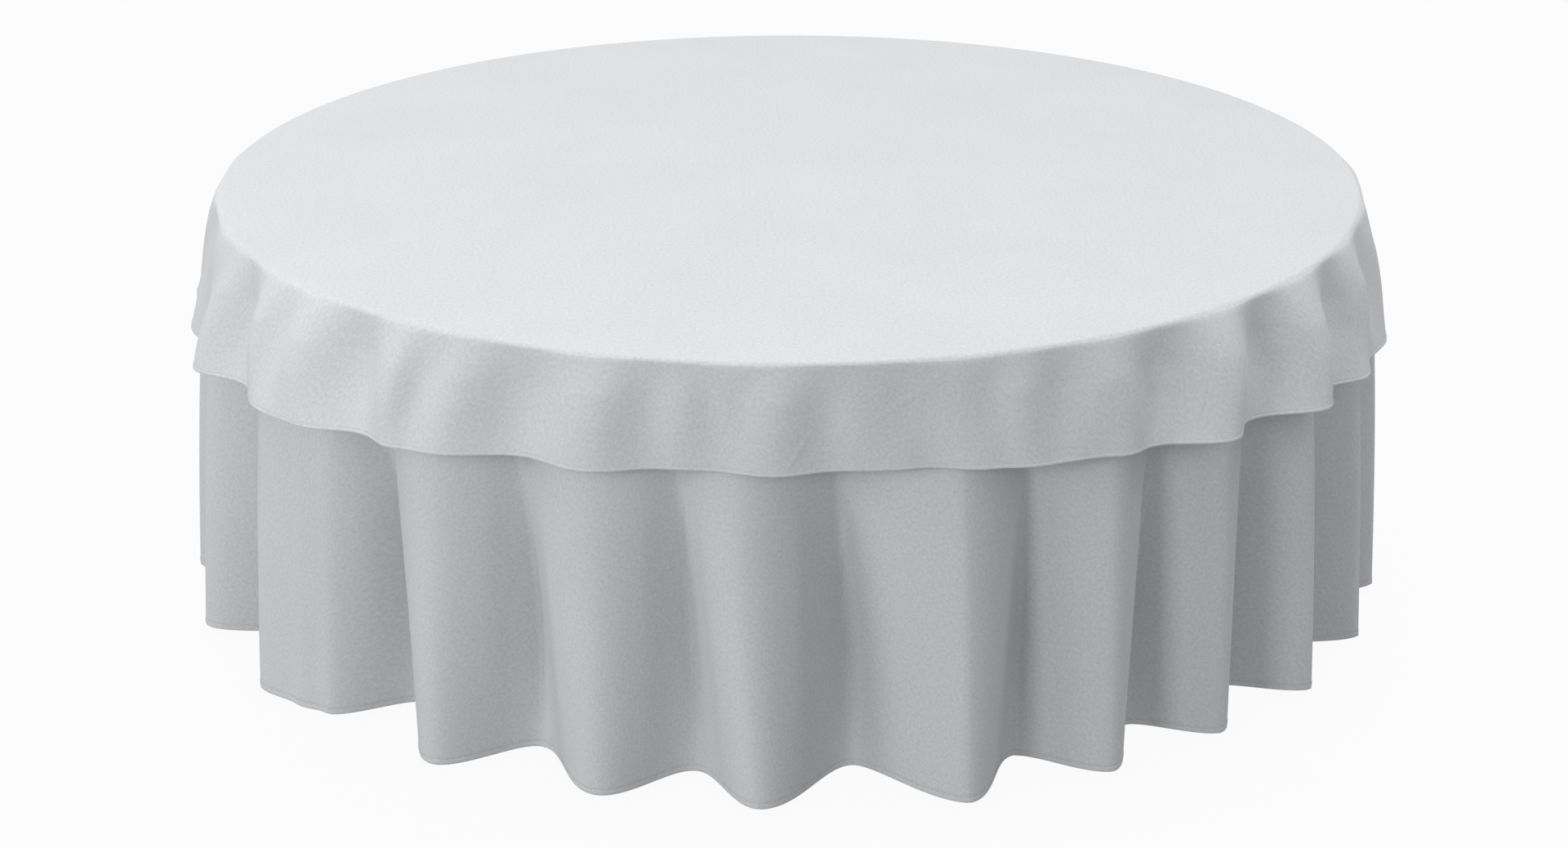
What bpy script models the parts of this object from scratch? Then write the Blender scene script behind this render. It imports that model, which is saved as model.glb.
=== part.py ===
"""Round folding banquet table dressed with two round cloths, in metres with +Z up.

The floor is z = 0 and the table's vertical axis is the Z axis. Bearings are in degrees from the
front (-Y), growing towards the right (+X). Each function builds one kind of piece.
"""
import math

import bmesh
import bpy
from mathutils import Matrix, Vector

# Overall sizes
TABLE_HEIGHT = 0.762
TABLE_RADIUS = 1.067
HEM_HEIGHT = 0.014
OVERLAY_DROP = 0.230
OVERLAY_SHIFT = 0.060

# Table top and the timber under it
TOP_THICKNESS = 0.019
BAND_THICKNESS = 0.004
BAND_CHAMFER = 0.003
RUNNER_LENGTH = 1.66
RUNNER_WIDTH = 0.040
RUNNER_DEPTH = 0.022
RUNNER_SPACING = 0.800
CLEAT_LENGTH = 1.00
CLEAT_WIDTH = 0.090

# Folding leg frames
TUBE_RADIUS = 0.0125
TUBE_WALL = 0.0015
FRAME_SPACING = 1.480
PIVOT_DROP = 0.026
LEG_INSET = 0.028
STRETCHER_REACH = 0.400
GLIDE_RADIUS = 0.019
GLIDE_HEIGHT = 0.008
GLIDE_PLUG = 0.022

# Pivot brackets and their screws
PLATE_THICKNESS = 0.0025
BRACKET_LENGTH = 0.076
BRACKET_WIDTH = 0.034
EAR_WIDTH = 0.046
SCREW_RADIUS = 0.0022
SCREW_HEAD_RADIUS = 0.0045
SCREW_HEAD_HEIGHT = 0.0022
SCREW_LENGTH = 0.018

# Folding braces
BRACE_REACH = 0.340
LINK_THICKNESS = 0.004
LINK_HEIGHT = 0.020
EYE_WALL = 0.0035
PIN_RADIUS = 0.004
PIN_HEAD_RADIUS = 0.0068
PIN_HEAD_HEIGHT = 0.0015
BRACE_BRACKET_LENGTH = 0.070

# Cloth
CLOTH_THICKNESS = 0.0012
RIM_EASE = 0.0016
SHOULDER_DROP = 0.006
LIFT_EASE = 0.0008

# Clearances
GAP = 0.0003
RUNNING_GAP = 0.0005
SIDE_GAP = 0.0006
LINK_SEPARATION = 0.0012

RING_SEGMENTS = 72
TUBE_SEGMENTS = 20
PIN_SEGMENTS = 16
STEPS_PER_FLUTE = 6

# Levels of the rings that both cloths share below the edge, as shares of the overlay's drop
OVERLAY_LEVELS = (0.0, 0.22, 0.58, 1.0)

# One row per flute: bearing of its crest, how far the crest stands out of the table's edge at the
# hem, bearing of the recess after it, and how far that recess goes in, as shares of TABLE_RADIUS.
FLUTES = (
    (-168.0, 0.050, -160.5, 0.055), (-151.5, 0.062, -144.0, 0.050),
    (-136.0, 0.058, -128.5, 0.062), (-121.0, 0.066, -114.0, 0.048),
    (-107.0, 0.064, -100.0, 0.054), (-93.5, 0.074, -87.0, 0.036),
    (-80.5, 0.094, -73.5, 0.035), (-67.0, 0.102, -60.0, 0.045),
    (-52.0, 0.097, -40.0, 0.064), (-31.6, 0.068, -24.4, 0.056),
    (-16.4, 0.050, -8.8, 0.054), (-2.5, 0.050, 5.6, 0.078),
    (14.8, 0.054, 20.8, 0.044), (28.0, 0.055, 33.6, 0.040),
    (40.4, 0.062, 46.4, 0.032), (52.5, 0.082, 58.6, 0.034),
    (65.0, 0.080, 70.5, 0.036), (76.0, 0.076, 82.5, 0.044),
    (89.0, 0.072, 96.0, 0.058), (103.5, 0.066, 110.5, 0.050),
    (118.0, 0.062, 125.5, 0.060), (133.0, 0.064, 140.0, 0.046),
    (147.0, 0.058, 154.5, 0.062), (162.5, 0.054, 169.0, 0.044),
    (176.0, 0.050, 184.0, 0.066),
)

# Overlay waves: bearing of the crest, its reach at the hem, bearing of the hollow after it and the
# hollow's reach, as shares of TABLE_RADIUS. Every reach is outward, so the overlay lifts off.
WAVES = (
    (-172.0, 0.056, -158.0, 0.036), (-143.0, 0.070, -127.0, 0.044),
    (-112.0, 0.072, -101.0, 0.048), (-90.0, 0.068, -82.0, 0.050),
    (-74.0, 0.068, -67.0, 0.054), (-60.0, 0.098, -53.0, 0.066),
    (-46.0, 0.104, -37.0, 0.070), (-32.0, 0.083, -22.0, 0.040),
    (-16.0, 0.054, -9.0, 0.026), (-2.0, 0.038, 6.0, 0.025),
    (22.0, 0.062, 27.0, 0.058), (36.0, 0.096, 41.5, 0.056),
    (47.5, 0.104, 53.0, 0.060), (58.0, 0.096, 63.0, 0.064),
    (68.0, 0.078, 75.0, 0.050), (84.0, 0.072, 94.0, 0.050),
    (107.0, 0.074, 122.0, 0.044), (137.0, 0.068, 154.0, 0.036),
)

TOP_UNDERSIDE = TABLE_HEIGHT - TOP_THICKNESS
RUNNER_TOP = TOP_UNDERSIDE - GAP
RUNNER_BOTTOM = RUNNER_TOP - RUNNER_DEPTH
PLATE_TOP = RUNNER_BOTTOM - GAP
PLATE_BOTTOM = PLATE_TOP - PLATE_THICKNESS
PIVOT_HEIGHT = PLATE_BOTTOM - PIVOT_DROP
PIVOT_X = FRAME_SPACING / 2
RUNNER_Y = RUNNER_SPACING / 2
LEG_Y = RUNNER_Y - LEG_INSET - TUBE_RADIUS
STRETCHER_HEIGHT = PIVOT_HEIGHT - STRETCHER_REACH
BRACE_X = PIVOT_X - BRACE_REACH
BRACE_LENGTH = math.hypot(BRACE_REACH, STRETCHER_REACH)
FOLD_OFFSET = STRETCHER_REACH - BRACE_REACH
UPPER_LENGTH = (BRACE_LENGTH - FOLD_OFFSET) / 2
LOWER_LENGTH = (BRACE_LENGTH + FOLD_OFFSET) / 2
BRACE_EAR_Y = LINK_THICKNESS / 2 + SIDE_GAP
PIN_HEAD_Y = BRACE_EAR_Y + PLATE_THICKNESS + GAP
LOWER_LINK_Y = PIN_HEAD_Y + PIN_HEAD_HEIGHT + LINK_SEPARATION
EDGE_DEPTH = TOP_THICKNESS + 0.003
SKIRT_DEPTH = TABLE_HEIGHT - HEM_HEIGHT
UNDER_TOP = TABLE_HEIGHT + GAP
OVERLAY_TOP = UNDER_TOP + CLOTH_THICKNESS + GAP


def clear_scene():
    """Takes every object and unused mesh out of the file."""
    for obj in list(bpy.data.objects):
        bpy.data.objects.remove(obj, do_unlink=True)
    for mesh in list(bpy.data.meshes):
        bpy.data.meshes.remove(mesh)


def material(name, colour, roughness, metallic=0.0):
    """Returns a plain principled material."""
    made = bpy.data.materials.new(name)
    made.use_nodes = True
    shader = made.node_tree.nodes["Principled BSDF"]
    shader.inputs["Base Color"].default_value = (*colour, 1.0)
    shader.inputs["Roughness"].default_value = roughness
    shader.inputs["Metallic"].default_value = metallic
    made.diffuse_color = (*colour, 1.0)
    return made


def to_object(name, bm, finish):
    """Closes a bmesh into a named object with outward faces and one material."""
    bmesh.ops.recalc_face_normals(bm, faces=bm.faces)
    mesh = bpy.data.meshes.new(name)
    bm.to_mesh(mesh)
    bm.free()
    mesh.materials.append(finish)
    obj = bpy.data.objects.new(name, mesh)
    bpy.context.collection.objects.link(obj)
    return obj


def set_origin(obj, point):
    """Moves an object's origin to a point, leaving its shape where it is."""
    obj.data.transform(Matrix.Translation(-Vector(point)))
    obj.location = Vector(point)
    return obj


def add_box(bm, low, high):
    """Adds a box between two corners."""
    centre = (Vector(low) + Vector(high)) / 2
    size = Vector(high) - Vector(low)
    matrix = Matrix.Translation(centre) @ Matrix.Diagonal((*size, 1.0))
    bmesh.ops.create_cube(bm, size=1.0, matrix=matrix)


def prism(name, outline, y_low, y_high, finish):
    """Extrudes an outline of (x, z) points along Y."""
    bm = bmesh.new()
    face = bm.faces.new([bm.verts.new((x, y_low, z)) for x, z in outline])
    out = bmesh.ops.extrude_face_region(bm, geom=[face])
    moved = [item for item in out["geom"] if isinstance(item, bmesh.types.BMVert)]
    bmesh.ops.translate(bm, verts=moved, vec=(0.0, y_high - y_low, 0.0))
    return to_object(name, bm, finish)


def lathe(name, profile, centre, axis, segments, finish, ring=False):
    """Spins a profile of (radius, height) points about an axis, as a solid or as an open ring."""
    bm = bmesh.new()
    verts = [bm.verts.new((radius, 0.0, height)) for radius, height in profile]
    edges = [bm.edges.new(pair) for pair in zip(verts, verts[1:])]
    if ring:
        edges.append(bm.edges.new((verts[-1], verts[0])))
    bmesh.ops.spin(bm, geom=verts + edges, cent=(0, 0, 0), axis=(0, 0, 1), dvec=(0, 0, 0),
                   angle=math.tau, steps=segments, use_merge=True)
    bmesh.ops.remove_doubles(bm, verts=bm.verts, dist=1e-7)
    turn = Vector((0, 0, 1)).rotation_difference(Vector(axis)).to_matrix().to_4x4()
    bmesh.ops.transform(bm, matrix=Matrix.Translation(centre) @ turn, verts=bm.verts)
    return to_object(name, bm, finish)


def tube(name, start, end, finish):
    """Builds an open steel tube between two points."""
    axis = Vector(end) - Vector(start)
    inner = TUBE_RADIUS - TUBE_WALL
    profile = ((inner, 0.0), (TUBE_RADIUS, 0.0), (TUBE_RADIUS, axis.length), (inner, axis.length))
    return lathe(name, profile, start, axis.normalized(), TUBE_SEGMENTS, finish, ring=True)


def cutter(centre, axis, radius, length, segments):
    """Returns a hidden cylinder used to drill or cope a piece."""
    half = length / 2
    profile = ((0.0, -half), (radius, -half), (radius, half), (0.0, half))
    made = lathe("cutter", profile, centre, axis, segments, bpy.data.materials[0])
    made.hide_render = True
    made.display_type = "WIRE"
    return made


def cut(obj, tool):
    """Takes a cutter's shape out of an object."""
    difference = obj.modifiers.new("cut", "BOOLEAN")
    difference.operation = "DIFFERENCE"
    difference.solver = "EXACT"
    difference.object = tool


def half_arc(radius, side):
    """Returns the points of one half of a circle, on the left (-1) or right (+1) of the seam."""
    reach = math.acos(SIDE_GAP / 2 / radius)
    steps = RING_SEGMENTS // 2
    angles = [-reach + 2 * reach * i / steps for i in range(steps + 1)]
    return [(side * radius * math.cos(a), radius * math.sin(a)) for a in angles]


def top_panel(name, side, finish):
    """Builds one half-round plywood panel."""
    radius = TABLE_RADIUS - BAND_THICKNESS - GAP
    bm = bmesh.new()
    face = bm.faces.new([bm.verts.new((x, y, TOP_UNDERSIDE)) for x, y in half_arc(radius, side)])
    out = bmesh.ops.extrude_face_region(bm, geom=[face])
    moved = [item for item in out["geom"] if isinstance(item, bmesh.types.BMVert)]
    bmesh.ops.translate(bm, verts=moved, vec=(0.0, 0.0, TOP_THICKNESS))
    return to_object(name, bm, finish)


def edge_band(name, side, finish):
    """Builds the vinyl edging of one half of the top, with an eased upper edge."""
    inner = TABLE_RADIUS - BAND_THICKNESS
    profile = ((inner, TOP_UNDERSIDE), (TABLE_RADIUS, TOP_UNDERSIDE),
               (TABLE_RADIUS, TABLE_HEIGHT - BAND_CHAMFER),
               (TABLE_RADIUS - BAND_CHAMFER, TABLE_HEIGHT), (inner, TABLE_HEIGHT))
    bm = bmesh.new()
    arcs = [half_arc(radius, side) for radius, _ in profile]
    loops = []
    for i in range(RING_SEGMENTS // 2 + 1):
        points = [(*arc[i], height) for arc, (_, height) in zip(arcs, profile)]
        loops.append([bm.verts.new(point) for point in points])
    for first, second in zip(loops, loops[1:]):
        for j in range(len(profile)):
            k = (j + 1) % len(profile)
            bm.faces.new((first[j], first[k], second[k], second[j]))
    bm.faces.new(loops[0])
    bm.faces.new(loops[-1])
    return to_object(name, bm, finish)


def timber(name, length, width, y, finish):
    """Builds one batten under the top, running along X across the seam."""
    bm = bmesh.new()
    add_box(bm, (-length / 2, y - width / 2, RUNNER_BOTTOM), (length / 2, y + width / 2, RUNNER_TOP))
    return to_object(name, bm, finish)


def screw_xs(side):
    """Returns where along X the two screws of one pivot bracket stand."""
    reach = (EAR_WIDTH + BRACKET_LENGTH) / 4
    return (side * PIVOT_X - reach, side * PIVOT_X + reach)


def pivot_bracket(name, side, end, finish):
    """Builds a folded steel bracket: a plate under the runner and one ear with the pivot hole."""
    x = side * PIVOT_X
    inner = end * (RUNNER_Y - BRACKET_WIDTH / 2)
    half = EAR_WIDTH / 2
    bottom = PIVOT_HEIGHT - TUBE_RADIUS - 0.008
    outline = [(x - BRACKET_LENGTH / 2, PLATE_BOTTOM), (x - half, PLATE_BOTTOM),
               (x - half + 0.008, bottom), (x + half - 0.008, bottom), (x + half, PLATE_BOTTOM),
               (x + BRACKET_LENGTH / 2, PLATE_BOTTOM), (x + BRACKET_LENGTH / 2, PLATE_TOP),
               (x - BRACKET_LENGTH / 2, PLATE_TOP)]
    bm = bmesh.new()
    depth = end * PLATE_THICKNESS
    front = [bm.verts.new((px, inner, pz)) for px, pz in outline]
    back = [bm.verts.new((px, inner + depth, pz)) for px, pz in outline]
    bm.faces.new(front)
    for j, k in ((0, 1), (1, 2), (2, 3), (3, 4), (4, 5), (5, 6), (6, 7), (7, 0)):
        bm.faces.new((front[j], front[k], back[k], back[j]))
    face = bm.faces.new((back[0], back[1], back[4], back[5], back[6], back[7]))
    bm.faces.new((back[1], back[2], back[3], back[4]))
    out = bmesh.ops.extrude_discrete_faces(bm, faces=[face])
    moved = {vert for made in out["faces"] for vert in made.verts}
    bmesh.ops.translate(bm, verts=list(moved),
                        vec=(0.0, end * (BRACKET_WIDTH - PLATE_THICKNESS), 0.0))
    bmesh.ops.remove_doubles(bm, verts=bm.verts, dist=1e-7)
    made = to_object(name, bm, finish)
    hole = (x, inner + depth / 2, PIVOT_HEIGHT)
    cut(made, cutter(hole, (0, 1, 0), TUBE_RADIUS + RUNNING_GAP, 0.02, TUBE_SEGMENTS))
    for screw_x in screw_xs(side):
        drill = (screw_x, end * RUNNER_Y, PLATE_TOP - PLATE_THICKNESS / 2)
        cut(made, cutter(drill, (0, 0, 1), SCREW_RADIUS + GAP, 0.008, PIN_SEGMENTS))
    return made


def drill_runner(obj, end):
    """Drills the four pilot holes of one runner."""
    depth = SCREW_LENGTH + 4 * GAP
    for side in (-1, 1):
        for x in screw_xs(side):
            centre = (x, end * RUNNER_Y, PLATE_BOTTOM - GAP + depth / 2)
            cut(obj, cutter(centre, (0, 0, 1), SCREW_RADIUS + GAP, depth, PIN_SEGMENTS))


def screw(name, x, end, finish):
    """Builds one pan-head wood screw driven up into a runner."""
    profile = ((0.0, -SCREW_HEAD_HEIGHT), (SCREW_HEAD_RADIUS * 0.75, -SCREW_HEAD_HEIGHT),
               (SCREW_HEAD_RADIUS, -SCREW_HEAD_HEIGHT * 0.4), (SCREW_HEAD_RADIUS, 0.0),
               (SCREW_RADIUS, 0.0), (SCREW_RADIUS, SCREW_LENGTH - 0.003), (0.0, SCREW_LENGTH))
    centre = (x, end * RUNNER_Y, PLATE_BOTTOM - GAP)
    return lathe(name, profile, centre, (0, 0, 1), 12, finish)


def pivot_tube(name, side, finish):
    """Builds the cross tube on which one leg frame turns."""
    reach = RUNNER_Y - BRACKET_WIDTH / 2 + PLATE_THICKNESS + 0.008
    x = side * PIVOT_X
    made = tube(name, (x, -reach, PIVOT_HEIGHT), (x, reach, PIVOT_HEIGHT), finish)
    return set_origin(made, (x, 0.0, PIVOT_HEIGHT))


def leg(name, side, end, finish):
    """Builds one leg tube, its top coped to fit under the pivot tube."""
    x = side * PIVOT_X
    y = end * LEG_Y
    made = tube(name, (x, y, GLIDE_HEIGHT + GAP), (x, y, PIVOT_HEIGHT), finish)
    set_origin(made, (x, y, PIVOT_HEIGHT))
    cut(made, cutter((x, y, PIVOT_HEIGHT), (0, 1, 0), TUBE_RADIUS + GAP, 0.06, TUBE_SEGMENTS))
    return made


def stretcher(name, side, finish):
    """Builds the lower cross tube between two legs."""
    x = side * PIVOT_X
    reach = LEG_Y - TUBE_RADIUS - GAP
    made = tube(name, (x, -reach, STRETCHER_HEIGHT), (x, reach, STRETCHER_HEIGHT), finish)
    return set_origin(made, (x, 0.0, PIVOT_HEIGHT))


def foot_glide(name, side, end, finish):
    """Builds one moulded glide: a foot disc with a plug that sits inside the leg."""
    plug = TUBE_RADIUS - TUBE_WALL - GAP
    profile = ((0.0, 0.0), (GLIDE_RADIUS - 0.002, 0.0), (GLIDE_RADIUS, 0.002),
               (GLIDE_RADIUS, GLIDE_HEIGHT - 0.002), (GLIDE_RADIUS - 0.002, GLIDE_HEIGHT),
               (plug, GLIDE_HEIGHT), (plug, GLIDE_HEIGHT + GLIDE_PLUG),
               (0.0, GLIDE_HEIGHT + GLIDE_PLUG))
    centre = (side * PIVOT_X, end * LEG_Y, 0.0)
    return lathe(name, profile, centre, (0, 0, 1), TUBE_SEGMENTS, finish)


def brace_bracket(name, side, finish):
    """Builds the U bracket under the cleat that carries the upper brace link."""
    x = side * BRACE_X
    half = BRACE_BRACKET_LENGTH / 2
    bottom = PIVOT_HEIGHT - PIN_RADIUS - 0.006
    bm = bmesh.new()
    outer = BRACE_EAR_Y + PLATE_THICKNESS
    profile = [(-0.018, PLATE_TOP), (0.018, PLATE_TOP), (0.018, PLATE_BOTTOM),
               (outer, PLATE_BOTTOM), (outer, bottom), (BRACE_EAR_Y, bottom),
               (BRACE_EAR_Y, PLATE_BOTTOM), (-BRACE_EAR_Y, PLATE_BOTTOM),
               (-BRACE_EAR_Y, bottom), (-outer, bottom), (-outer, PLATE_BOTTOM),
               (-0.018, PLATE_BOTTOM)]
    face = bm.faces.new([bm.verts.new((x - half, y, z)) for y, z in profile])
    out = bmesh.ops.extrude_face_region(bm, geom=[face])
    moved = [item for item in out["geom"] if isinstance(item, bmesh.types.BMVert)]
    bmesh.ops.translate(bm, verts=moved, vec=(2 * half, 0.0, 0.0))
    made = to_object(name, bm, finish)
    centre = (x, 0.0, PIVOT_HEIGHT)
    cut(made, cutter(centre, (0, 1, 0), PIN_RADIUS + GAP, 0.03, PIN_SEGMENTS))
    for end in (-1, 1):
        trim = bmesh.new()
        add_box(trim, (x + end * 0.014, -0.03, bottom - 0.01),
                (x + end * (half + 0.02), 0.03, PLATE_BOTTOM))
        block = to_object("trim", trim, finish)
        block.hide_render = True
        block.display_type = "WIRE"
        cut(made, block)
    return made


def link_outline(start, end, start_radius, end_radius, steps=8):
    """Returns the outline of a flat bar with two round ends, as (x, z) points."""
    along = Vector((end[0] - start[0], end[1] - start[1]))
    base = math.atan2(along.y, along.x)
    width = LINK_HEIGHT / 2
    points = []
    for centre, radius, turn in ((start, start_radius, base + math.pi), (end, end_radius, base)):
        reach = math.pi - math.asin(min(1.0, width / radius))
        for i in range(steps + 1):
            angle = turn - reach + 2 * reach * i / steps
            points.append((centre[0] + radius * math.cos(angle),
                           centre[1] + radius * math.sin(angle)))
    return points


def brace_ends(side):
    """Returns the top pivot, the knee and the stretcher's centre of one brace, as (x, z)."""
    top = Vector((side * BRACE_X, PIVOT_HEIGHT))
    foot = Vector((side * PIVOT_X, STRETCHER_HEIGHT))
    knee = top + (foot - top) * (UPPER_LENGTH / BRACE_LENGTH)
    return top, knee, foot


def upper_link(name, side, finish):
    """Builds the upper brace link, with a hole at each end."""
    top, knee, _ = brace_ends(side)
    width = LINK_HEIGHT / 2
    outline = link_outline(top, knee, width, width)
    made = prism(name, outline, -LINK_THICKNESS / 2, LINK_THICKNESS / 2, finish)
    for point in (top, knee):
        centre = (point.x, 0.0, point.y)
        cut(made, cutter(centre, (0, 1, 0), PIN_RADIUS + GAP, 0.02, PIN_SEGMENTS))
    return set_origin(made, (top.x, 0.0, top.y))


def lower_link(name, side, finish):
    """Builds the lower brace link, which ends in an eye round the stretcher."""
    _, knee, foot = brace_ends(side)
    eye = TUBE_RADIUS + RUNNING_GAP + EYE_WALL
    outline = link_outline(foot, knee, eye, LINK_HEIGHT / 2, steps=14)
    made = prism(name, outline, LOWER_LINK_Y, LOWER_LINK_Y + LINK_THICKNESS, finish)
    centre = (foot.x, LOWER_LINK_Y, foot.y)
    cut(made, cutter(centre, (0, 1, 0), TUBE_RADIUS + RUNNING_GAP, 0.04, TUBE_SEGMENTS))
    return set_origin(made, (foot.x, 0.0, foot.y))


def brace_top_pin(name, side, finish):
    """Builds the headed pin that holds the upper link in its bracket."""
    head = PIN_HEAD_Y
    profile = ((0.0, -head - PIN_HEAD_HEIGHT), (PIN_HEAD_RADIUS, -head - PIN_HEAD_HEIGHT),
               (PIN_HEAD_RADIUS, -head), (PIN_RADIUS, -head), (PIN_RADIUS, head),
               (PIN_HEAD_RADIUS, head), (PIN_HEAD_RADIUS, head + PIN_HEAD_HEIGHT),
               (0.0, head + PIN_HEAD_HEIGHT))
    centre = (side * BRACE_X, 0.0, PIVOT_HEIGHT)
    return lathe(name, profile, centre, (0, 1, 0), PIN_SEGMENTS, finish)


def brace_knee_rivet(name, side, finish):
    """Builds the knee rivet with its spacer collar, which stops at the lower link's face."""
    _, knee, _ = brace_ends(side)
    face = LINK_THICKNESS / 2 + GAP
    profile = ((0.0, -face - PIN_HEAD_HEIGHT), (PIN_HEAD_RADIUS, -face - PIN_HEAD_HEIGHT),
               (PIN_HEAD_RADIUS, -face), (PIN_RADIUS, -face), (PIN_RADIUS, face),
               (PIN_HEAD_RADIUS, face), (PIN_HEAD_RADIUS, LOWER_LINK_Y - GAP),
               (0.0, LOWER_LINK_Y - GAP))
    return lathe(name, profile, (knee.x, 0.0, knee.y), (0, 1, 0), PIN_SEGMENTS, finish)


def blend(first, second, share):
    """Eases from one value to another with a half cosine."""
    return first + (second - first) * (1 - math.cos(math.pi * share)) / 2


def wave_value(table, bearing, crest, hollow):
    """Reads a table of crests and hollows at a bearing, easing between neighbours."""
    marks = []
    for row in table:
        marks.append((row[0], crest(row)))
        marks.append((row[2], hollow(row)))
    marks.append((marks[0][0] + 360.0, marks[0][1]))
    turned = (bearing - marks[0][0]) % 360.0 + marks[0][0]
    for (start, low), (end, high) in zip(marks, marks[1:]):
        if turned <= end:
            return blend(low, high, (turned - start) / (end - start))
    return marks[-1][1]


def cloth_bearings():
    """Returns the bearings of the cloth's grid, with one on each crest and each recess."""
    found = []
    half = STEPS_PER_FLUTE // 2
    ends = [*FLUTES[1:], (FLUTES[0][0] + 360.0,)]
    for row, after in zip(FLUTES, ends):
        for start, end in ((row[0], row[2]), (row[2], after[0])):
            found += [start + (end - start) * i / half for i in range(half)]
    return found


def under_reach(bearing, drop):
    """Returns how far the under cloth stands out of the edge at a drop below the top."""
    edge = wave_value(FLUTES, bearing, lambda row: row[1], lambda row: -row[3])
    crests = max(edge, 0.0) * math.sqrt(max(drop, 0.0) / SKIRT_DEPTH)
    below_edge = max(drop - EDGE_DEPTH, 0.0) / (SKIRT_DEPTH - EDGE_DEPTH)
    recesses = min(edge, 0.0) * below_edge ** 0.8
    return TABLE_RADIUS * (crests + recesses)


def overlay_drop(bearing):
    """Returns how deep the overlay hangs at a bearing; it lies a little towards the back."""
    return OVERLAY_DROP - OVERLAY_SHIFT * math.cos(math.radians(bearing))


def overlay_reach(bearing, drop):
    """Returns how far the overlay stands out of the edge at a drop below the top."""
    share = max(drop, 0.0) / overlay_drop(bearing)
    edge = wave_value(WAVES, bearing, lambda row: row[1], lambda row: row[3])
    return TABLE_RADIUS * edge * share ** 0.8


def direction(bearing):
    """Returns the unit (x, y) of a bearing."""
    return math.sin(math.radians(bearing)), -math.cos(math.radians(bearing))


def cloth_shell(name, rings, finish):
    """Joins rings of (inner point, outer point) pairs into one open-bottomed cloth shell."""
    bm = bmesh.new()
    count = len(rings[0])
    inner_centre = bm.verts.new((0.0, 0.0, rings[0][0][0][2]))
    outer_centre = bm.verts.new((0.0, 0.0, rings[0][0][1][2]))
    inside = [[bm.verts.new(pair[0]) for pair in ring] for ring in rings]
    outside = [[bm.verts.new(pair[1]) for pair in ring] for ring in rings]
    for side, centre in ((inside, inner_centre), (outside, outer_centre)):
        for i in range(count):
            j = (i + 1) % count
            bm.faces.new((centre, side[0][i], side[0][j]))
            for upper, lower in zip(side, side[1:]):
                bm.faces.new((upper[i], lower[i], lower[j]))
                bm.faces.new((upper[i], lower[j], upper[j]))
    for i in range(count):
        j = (i + 1) % count
        bm.faces.new((inside[-1][i], inside[-1][j], outside[-1][j], outside[-1][i]))
    return to_object(name, bm, finish)


def rim_rings(top, radius):
    """Returns the rings of a cloth's flat top and of its turn over the table's edge."""
    thick = CLOTH_THICKNESS
    inner = ((TABLE_RADIUS - 0.0025, 0.0), (TABLE_RADIUS + (radius - TABLE_RADIUS) / 2, 0.0022))
    rings = []
    for index, (reach, drop) in enumerate(inner):
        out = thick * 0.7 if index else 0.0
        up = thick * 0.75 if index else thick
        ring = []
        for bearing in cloth_bearings():
            x, y = direction(bearing)
            ring.append(((x * reach, y * reach, top - drop),
                         (x * (reach + out), y * (reach + out), top - drop + up)))
        rings.append(ring)
    return rings


def ring_drop(bearing, level):
    """Returns a ring's drop: level 0 is just under the table's edge, 1 the overlay's hem, 2 the floor hem."""
    hem = overlay_drop(bearing)
    if level < 0.0:
        return SHOULDER_DROP
    return EDGE_DEPTH + (hem - EDGE_DEPTH) * min(level, 1.0) + (SKIRT_DEPTH - hem) * max(level - 1.0, 0.0)


def cloth_rings(top, radius, levels, reach_at):
    """Returns every ring of a cloth whose skirt passes through the given levels."""
    rings = rim_rings(top, radius)
    for level in (-1.0, *levels):
        ring = []
        for bearing in cloth_bearings():
            drop = ring_drop(bearing, level)
            x, y = direction(bearing)
            inner = radius + reach_at(bearing, drop)
            outer = inner + CLOTH_THICKNESS
            ring.append(((x * inner, y * inner, TABLE_HEIGHT - drop),
                         (x * outer, y * outer, TABLE_HEIGHT - drop)))
        rings.append(ring)
    return rings


def under_cloth(name, finish):
    """Builds the floor-length cloth, fluted and open below."""
    levels = (*OVERLAY_LEVELS, 1.33, 1.66, 2.0)
    rings = cloth_rings(UNDER_TOP, TABLE_RADIUS + RIM_EASE, levels, under_reach)
    return cloth_shell(name, rings, finish)


def overlay_cloth(name, finish):
    """Builds the short overlay, which rests on the under cloth and lifts straight off it."""
    rest = TABLE_RADIUS + RIM_EASE + CLOTH_THICKNESS

    def reach_at(bearing, drop):
        below = max(under_reach(bearing, drop), 0.0) + LIFT_EASE
        return max(overlay_reach(bearing, drop), below)

    rings = cloth_rings(OVERLAY_TOP, rest, OVERLAY_LEVELS, reach_at)
    return cloth_shell(name, rings, finish)


def build_top(finishes):
    """Builds the top, its edging and the timber under it."""
    for label, side in (("left", -1), ("right", 1)):
        top_panel(f"top_panel_{label}", side, finishes["plywood"])
        edge_band(f"edge_band_{label}", side, finishes["vinyl"])
    for label, end in (("front", -1), ("back", 1)):
        made = timber(f"runner_{label}", RUNNER_LENGTH, RUNNER_WIDTH, end * RUNNER_Y, finishes["hardwood"])
        drill_runner(made, end)
    timber("center_cleat", CLEAT_LENGTH, CLEAT_WIDTH, 0.0, finishes["hardwood"])


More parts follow.
